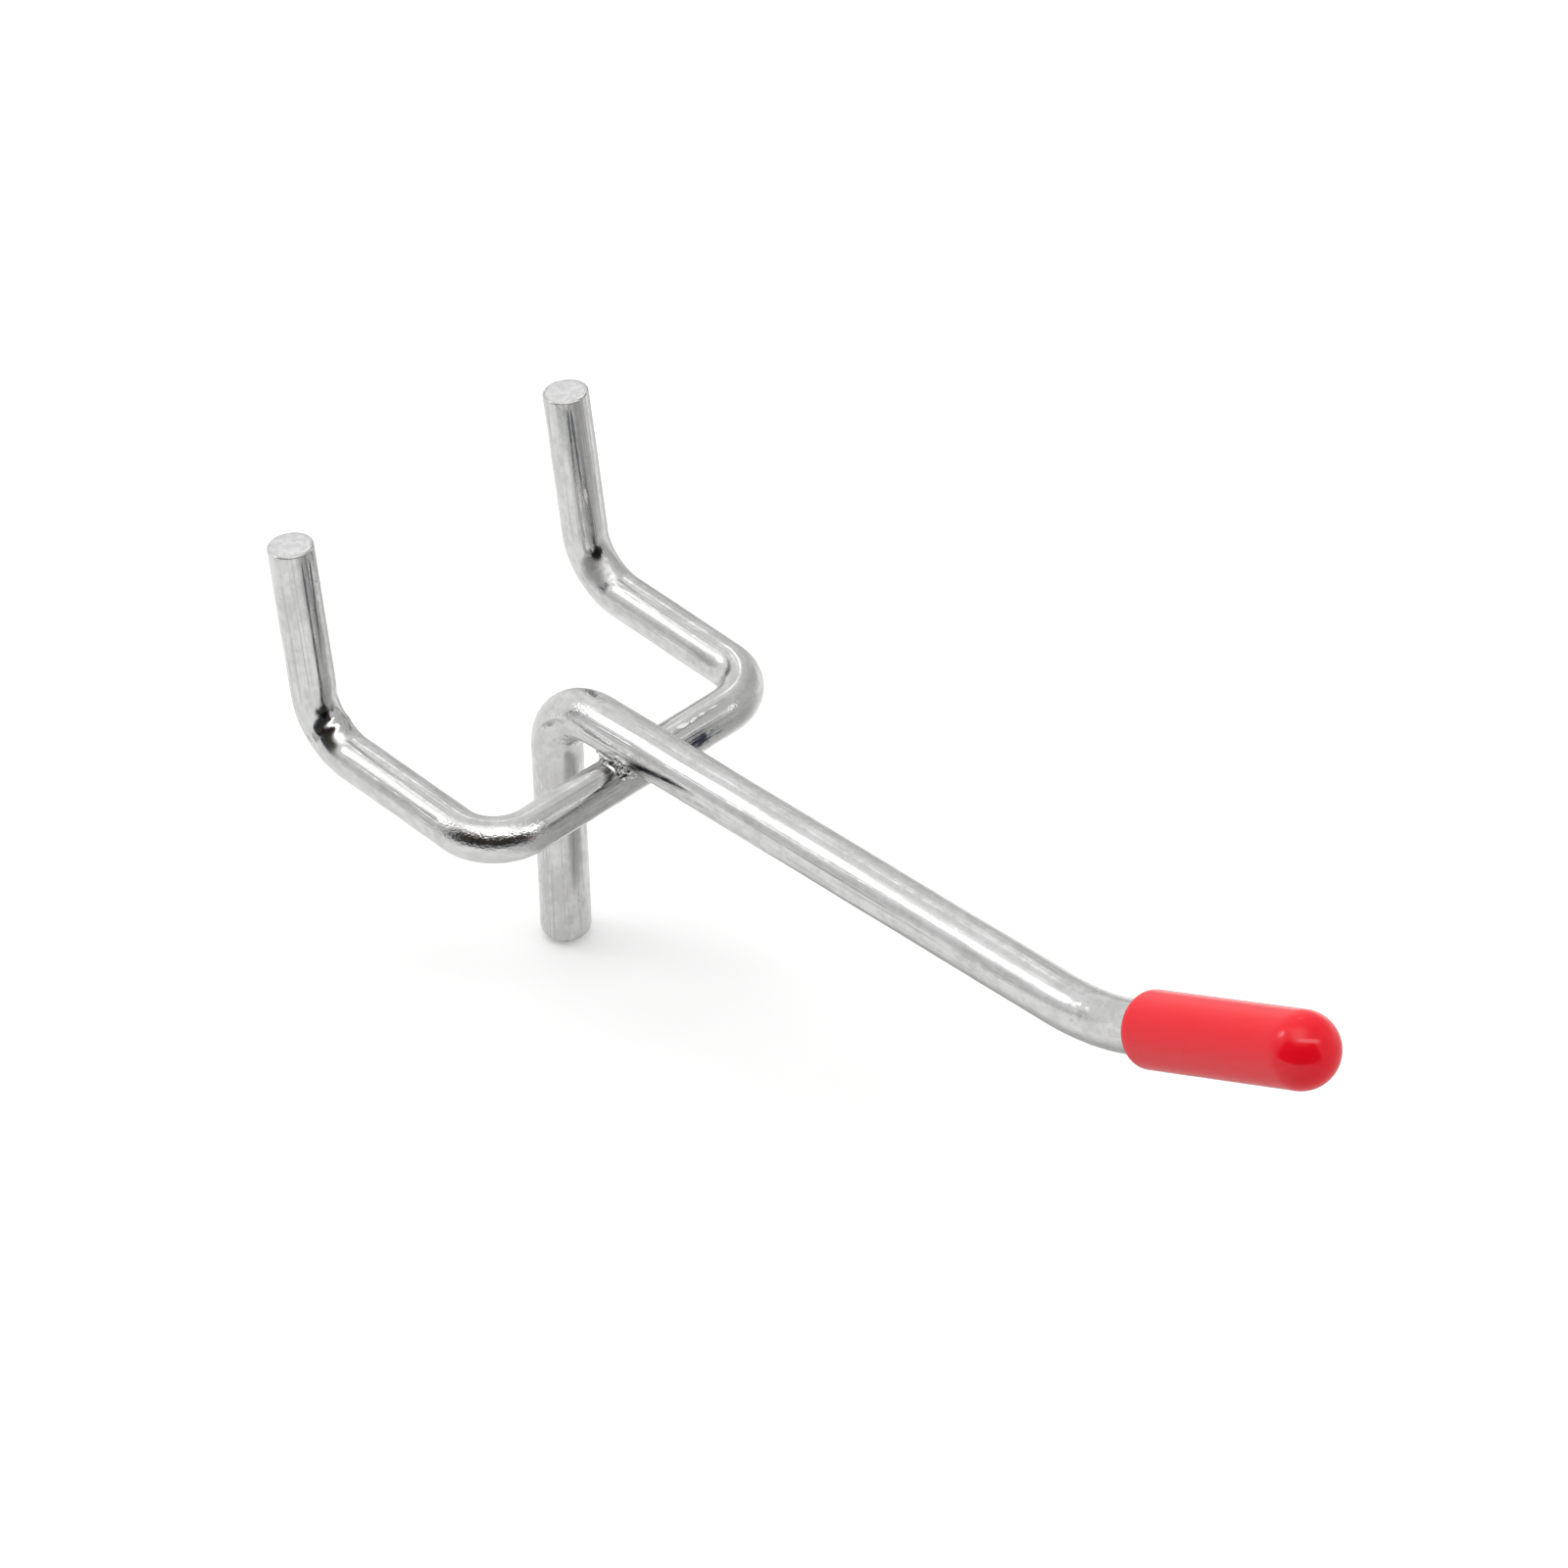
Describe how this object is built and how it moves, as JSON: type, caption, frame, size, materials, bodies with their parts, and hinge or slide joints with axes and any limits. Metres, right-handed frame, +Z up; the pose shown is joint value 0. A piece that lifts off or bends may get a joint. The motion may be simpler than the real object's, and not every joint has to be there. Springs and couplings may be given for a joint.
{
  "type": "pegboard hook",
  "caption": "Wire hook for a perforated board: a bent back wire with upturned prongs, welded to a rising arm with a leg that bears on the board and a soft cap on its tip.",
  "frame": {"origin": "midway between the two board holes, on the line through their centres, at the board's front face", "axes": "+X along the line of the holes, +Y into the board, +Z up; the arm points along -Y"},
  "size_m": [0.0282, 0.0877, 0.0373],
  "materials": {
    "back_wire": "bright plated steel wire",
    "arm_wire": "bright plated steel wire",
    "cross_weld": "plated weld flash, streaky",
    "tip_cap": "soft red vinyl, semi-gloss"
  },
  "bodies": {
    "root": {"back_wire": "back_wire", "arm_wire": "arm_wire", "cross_weld": "cross_weld", "tip_cap": "tip_cap"}
  },
  "joints": []
}
